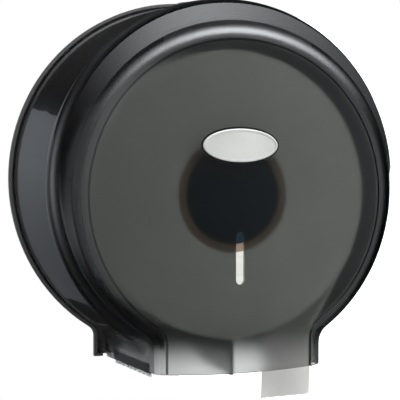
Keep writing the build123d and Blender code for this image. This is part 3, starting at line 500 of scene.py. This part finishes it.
def core_board(name):
    material, tree, shader = start_material(name)
    where = object_spot(tree)
    layers = place_group(tree, WOUND_LAYERS, {"Layers Per Metre": 1400.0})
    pulp = mottle(tree, stretched(tree, where, (1.0, 0.5, 1.0)), 700.0, 4.0, 0.65)
    flecks = ranged(tree, mottle(tree, where, 1500.0, 2.0), 0.62, 0.7, 0.0, 0.5)
    body = blended(tree, pulp, (0.25, 0.19, 0.14, 1.0), (0.38, 0.30, 0.22, 1.0))
    speckled = blended(tree, flecks, body, (0.5, 0.43, 0.34, 1.0))
    plies = product(tree, layers["Layers"], layers["End Face"])
    feed(tree, shader, {
        "Base Color": blended(tree, plies, speckled, (0.22, 0.17, 0.13, 1.0)),
        "Roughness": ranged(tree, pulp, 0.2, 0.8, 0.8, 0.95),
        "Normal": bumped(tree, 0.6, 0.0001, pulp), "Specular IOR Level": 0.25})
    return material


# ---------------------------------------------------------------- new pieces


def linked(name, mesh, material):
    """The bmesh as an object at the origin, in the scene."""
    data = bpy.data.meshes.new(name)
    mesh.to_mesh(data)
    mesh.free()
    data.materials.append(material)
    made = bpy.data.objects.new(name, data)
    bpy.context.scene.collection.objects.link(made)
    return made


def finished(mesh, name, material, body, node):
    """A smooth piece that stands for a CAD node and rides on its body."""
    for face in mesh.faces:
        face.smooth = True
    piece = linked(name, mesh, material)
    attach(piece, body)
    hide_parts(node)
    return piece


def wound_roll(material):
    """The paper roll: a turned ring whose ends show layers that don't quite line up."""
    rng = random.Random(11)
    mesh = bmesh.new()
    corners = [
        (CORE_RADIUS, ROLL_REAR), (ROLL_RADIUS, ROLL_REAR),
        (ROLL_RADIUS, ROLL_FRONT), (CORE_RADIUS, ROLL_FRONT)]
    points = [mesh.verts.new((radius * MM, -depth * MM, 0.0)) for radius, depth in corners]
    sides = [mesh.edges.new((points[i], points[(i + 1) % 4])) for i in range(4)]
    bmesh.ops.subdivide_edges(mesh, edges=[sides[0], sides[2]], cuts=ROLL_END_CUTS)
    mesh.verts.ensure_lookup_table()
    for v in sorted(mesh.verts, key=lambda v: (v.co.y, v.co.x)):
        inwards = 1.0 if v.co.y < -ROLL_MIDDLE * MM else -1.0
        outermost = v.co.x > (ROLL_RADIUS - 0.1) * MM
        v.co.y += inwards * (OUTER_LAYER_SET_BACK if outermost else rng.uniform(0.0, LAYER_STRAY)) * MM
    bmesh.ops.spin(mesh, geom=mesh.verts[:] + mesh.edges[:], cent=(0, 0, 0), axis=(0, 1, 0),
                   angle=math.tau, steps=ROLL_STEPS, use_merge=True)
    bmesh.ops.remove_doubles(mesh, verts=mesh.verts[:], dist=MERGE_REACH)
    bmesh.ops.recalc_face_normals(mesh, faces=mesh.faces[:])
    for e in mesh.edges:
        if len(e.link_faces) == 2 and e.calc_face_angle() > SHARP_ANGLE:
            e.smooth = False
    finished(mesh, "paper_roll_wound", material, "roll_hub", "paper_roll")


def tail_route():
    """The loose end's line seen from the front: off the roll, round a soft bend, down beside the wall."""
    lift = (ROLL_RADIUS + TAIL_LIFT) * MM
    away = math.hypot(TAIL_X, TAIL_BEND_Z) * MM
    tangent = math.atan2(TAIL_BEND_Z, TAIL_X) + math.acos(lift / away)
    route = []
    for share in TAIL_WRAP_SHARES:
        angle = tangent + math.radians(TAIL_WRAP_DEGREES) * share
        route.append(Vector((math.cos(angle), 0.0, math.sin(angle))) * lift)
    leaving = Vector((math.cos(tangent), 0.0, math.sin(tangent))) * lift
    corner = Vector((TAIL_X * MM, 0.0, TAIL_BEND_Z * MM))
    run = (corner - leaving).normalized()
    near = corner - run * TAIL_BEND_RADIUS * MM
    far = corner + Vector((0.0, 0.0, -1.0)) * TAIL_BEND_RADIUS * MM
    for i in range(TAIL_RUN_STEPS):
        route.append(leaving.lerp(near, i / TAIL_RUN_STEPS))
    for i in range(TAIL_BEND_STEPS + 1):
        t = i / TAIL_BEND_STEPS
        route.append(near.lerp(corner, t).lerp(corner.lerp(far, t), t))
    lowest = Vector((TAIL_X * MM, 0.0, (TAIL_REAR_Z - 1.0) * MM))
    for i in range(1, TAIL_DROP_STEPS + 1):
        route.append(far.lerp(lowest, i / TAIL_DROP_STEPS))
    return route


def hanging_tail(material):
    """The torn end of the paper: an edge drawn along the route, cut at a slant and frayed."""
    rng = random.Random(5)
    mesh = bmesh.new()
    route = tail_route()
    rear = mesh.verts.new(route[0] + Vector((0.0, -ROLL_REAR * MM, 0.0)))
    front = mesh.verts.new(route[0] + Vector((0.0, -ROLL_FRONT * MM, 0.0)))
    first = mesh.edges.new((rear, front))
    bmesh.ops.subdivide_edges(mesh, edges=[first], cuts=TAIL_ACROSS_CUTS)
    row = mesh.edges[:]
    for here, there in zip(route, route[1:]):
        made = bmesh.ops.extrude_edge_only(mesh, edges=row)["geom"]
        row = [e for e in made if isinstance(e, bmesh.types.BMEdge)]
        points = [v for v in made if isinstance(v, bmesh.types.BMVert)]
        bmesh.ops.translate(mesh, verts=points, vec=there - here)
    slant = Vector((0.0, ROLL_FRONT - ROLL_REAR, TAIL_REAR_Z - TAIL_FRONT_Z)).normalized()
    across = Vector((0.0, slant.z, -slant.y))
    torn_at = Vector((0.0, -ROLL_REAR * MM, TAIL_REAR_Z * MM))
    bmesh.ops.bisect_plane(mesh, geom=mesh.verts[:] + mesh.edges[:] + mesh.faces[:], dist=MERGE_REACH,
                           plane_co=torn_at, plane_no=across, clear_outer=True)
    bmesh.ops.remove_doubles(mesh, verts=mesh.verts[:], dist=TEAR_REACH)
    for v in mesh.verts:
        depth = -v.co.y / MM
        fall = max(0.0, (SWAY_TOP_Z - v.co.z / MM) / SWAY_LENGTH)
        v.co.x -= (0.5 + 0.5 * math.sin(depth * SWAY_WAVE_PER_MM + SWAY_START)) * SWAY * fall * MM
        wave = math.sin(depth * RIPPLE_WAVE_PER_MM + v.co.z * RIPPLE_WAVE_PER_M_DOWN)
        v.co.x -= RIPPLE * fall * (1.0 + wave) * MM
        gap = abs((v.co - torn_at).dot(across))
        if v.co.z < TEAR_TOP_Z * MM and gap < TEAR_REACH:
            v.co.z += rng.uniform(-TEAR_DROP, TEAR_RISE) * MM
            v.co.x -= rng.uniform(0.0, TEAR_CURL) * MM
    bmesh.ops.recalc_face_normals(mesh, faces=mesh.faces[:])
    area = sum(face.calc_area() for face in mesh.faces)
    tail = finished(mesh, "paper_tail_torn", material, "wall_unit", "paper_tail")
    ply = tail.modifiers.new("ply", "SOLIDIFY")
    ply.thickness = TAIL_PLY * MM
    ply.offset = 0.0


# ---------------------------------------------------------------- dressing the CAD nodes


def dress(material, *names):
    for name in names:
        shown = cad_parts[name]
        shown.data.materials.clear()
        shown.data.materials.append(material)


def dress_everything():
    for name, (look, nodes) in PLASTICS.items():
        dress(moulded_plastic(name, *look), *nodes)
    smoked = smoked_polycarbonate("smoked_polycarbonate_cover", COVER_COLOURS, *COVER_LOOK)
    dress(smoked, "front_cover", "mouth_divider")
    cutter = smoked_polycarbonate("clear_cutter_polycarbonate", CUTTER_COLOURS, *CUTTER_LOOK)
    dress(cutter, "cutter_strip_left", "cutter_strip_right")
    dress(plated_steel("zinc_plated_steel"), *STEEL_NODES)
    dress(satin_silver("satin_silver_badge"), "badge_plate")
    dress(core_board("grey_brown_core_board"), "cardboard_core")


# ---------------------------------------------------------------- studio


def photograph_camera():
    data = bpy.data.cameras.new("photograph_camera")
    data.lens = CAMERA_LENS
    data.sensor_width = CAMERA_SENSOR
    camera = bpy.data.objects.new("photograph_camera", data)
    camera.location = CAMERA_PLACE
    tilt = math.radians(90.0 - CAMERA_DOWN_DEGREES)
    camera.rotation_euler = (tilt, 0.0, math.radians(-CAMERA_RIGHT_DEGREES))
    bpy.context.scene.collection.objects.link(camera)
    bpy.context.scene.camera = camera
    bpy.context.scene.view_settings.view_transform = "Standard"


def lamp(name, place, width, height, radiance):
    """A rectangular lamp that lights matt surfaces; gloss shows the tent's glows in its place."""
    data = bpy.data.lights.new(name, "AREA")
    data.shape = "RECTANGLE"
    data.size = width
    data.size_y = height
    data.energy = radiance * math.pi * width * height
    made = bpy.data.objects.new(name, data)
    made.location = place
    made.rotation_euler = (Vector(LAMP_AIM) - Vector(place)).to_track_quat("-Z", "Y").to_euler()
    made.visible_camera = False
    made.visible_transmission = False
    made.visible_glossy = False
    bpy.context.scene.collection.objects.link(made)


def pale_paper(name, own_light):
    """The stage's white: lit like matt paper, with own light where the camera, glass or gloss shows it."""
    material, tree, shader = start_material(name)
    seen = seen_directly(tree, put(tree, "LightPath").outputs)
    feed(tree, shader, {
        "Base Color": (0.9, 0.9, 0.9, 1.0), "Roughness": 0.9, "Specular IOR Level": 0.0,
        "Emission Color": WHITE, "Emission Strength": product(tree, seen, own_light)})
    return material


def unlit(material, tree, shader, colour, level):
    """Black cloth or card that shows only the given light of its own."""
    feed(tree, shader, {
        "Base Color": BLACK, "Roughness": 1.0, "Specular IOR Level": 0.0,
        "Emission Color": colour, "Emission Strength": level})
    material.cycles.emission_sampling = "NONE"
    return material


def fading_card(name):
    """Grey card, paler towards its top."""
    material, tree, shader = start_material(name)
    height = split(tree, object_spot(tree))["Z"]
    level = ranged(tree, height, CARD_FOOT[0], CARD_TOP[0], CARD_FOOT[1], CARD_TOP[1])
    return unlit(material, tree, shader, (0.86, 0.92, 1.0, 1.0), level)


def soft_glow(tree, way, azimuth, elevation, width, height, strength):
    """A soft-edged patch of light on the tent."""
    turn, lift = math.radians(azimuth), math.radians(elevation)
    across = (math.cos(turn), -math.sin(turn), 0.0)
    upwards = (-math.sin(turn) * math.sin(lift), -math.cos(turn) * math.sin(lift), math.cos(lift))
    towards = (math.sin(turn) * math.cos(lift), math.cos(turn) * math.cos(lift), math.sin(lift))
    squares = []
    for line, spread in ((across, width), (upwards, height)):
        share = worked(tree, "DIVIDE", dot(tree, way, line), math.sin(math.radians(spread)))
        squares.append(product(tree, share, share))
    fade = worked(tree, "EXPONENT", product(tree, total(tree, *squares), -0.5))
    facing = worked(tree, "GREATER_THAN", dot(tree, way, towards), 0.0)
    return product(tree, fade, product(tree, facing, strength))


def glowing_tent(name):
    """Dark cloth round the object, with soft patches of light on it."""
    material, tree, shader = start_material(name)
    way = put(tree, "VectorMath", {0: object_spot(tree)}, operation="NORMALIZE").outputs["Vector"]
    level = DARK_LEVEL
    for glow in STUDIO_GLOWS:
        level = total(tree, level, soft_glow(tree, way, *glow))
    return unlit(material, tree, shader, (0.94, 0.97, 1.0, 1.0), level)


def staged(name, mesh, material, only_reflected=False):
    thing = linked(name, mesh, material)
    if only_reflected:
        thing.visible_camera = False
        thing.visible_diffuse = False
        thing.visible_transmission = False
        thing.visible_shadow = False


def stage_sheet(name, material, middle, width, height, upright=False, only_reflected=False):
    mesh = bmesh.new()
    bmesh.ops.create_grid(mesh, x_segments=1, y_segments=1, size=0.5)
    bmesh.ops.scale(mesh, verts=mesh.verts[:], vec=(width, height, 1.0))
    if upright:
        bmesh.ops.rotate(mesh, verts=mesh.verts[:], matrix=Matrix.Rotation(math.radians(90.0), 3, "X"))
    bmesh.ops.translate(mesh, verts=mesh.verts[:], vec=middle)
    staged(name, mesh, material, only_reflected)


def white_air():
    """A white world; behind what a mirror shows through clear plastic it is as dark as the tent."""
    world = bpy.data.worlds.new("studio_air")
    world.use_nodes = True
    bpy.context.scene.world = world
    tree = world.node_tree
    path = put(tree, "LightPath").outputs
    light = mixed(tree, seen_directly(tree, path), AIR_LEVEL, 1.0)
    mirrored = worked(tree, "GREATER_THAN", path["Glossy Depth"], 0.5)
    shaded = product(tree, mirrored, path["Is Transmission Ray"])
    level = mixed(tree, shaded, light, DARK_LEVEL)
    feed(tree, tree.nodes["Background"], {"Color": WHITE, "Strength": level})


def studio():
    """White air, pale floor and backdrop, a dark tent and a grey card for reflections, and three lamps."""
    white_air()
    stage_sheet("studio_floor", pale_paper("pale_floor_paper", 0.5), (0.2, 0.0, -0.9), 2.4, 2.4)
    backdrop = pale_paper("pale_backdrop_paper", 0.95)
    stage_sheet("studio_backdrop", backdrop, (1.1, 1.5, -0.12), 1.2, 0.96, upright=True)
    tent = bmesh.new()
    bmesh.ops.create_icosphere(tent, subdivisions=4, radius=TENT_RADIUS)
    bmesh.ops.reverse_faces(tent, faces=tent.faces[:])
    for v in tent.verts:
        v.co.z = max(v.co.z, TENT_FLOOR_Z)
    staged("dark_studio_tent", tent, glowing_tent("dark_cloth_with_glows"), only_reflected=True)
    card = fading_card("grey_rear_card")
    stage_sheet("grey_rear_card", card, (-0.75, 1.6, -0.2), 1.4, 1.3, upright=True, only_reflected=True)
    for settings in STUDIO_LAMPS:
        lamp(*settings)


photograph_camera()
studio()
dress_everything()
tissue = soft_tissue("soft_white_tissue")
wound_roll(tissue)
hanging_tail(tissue)
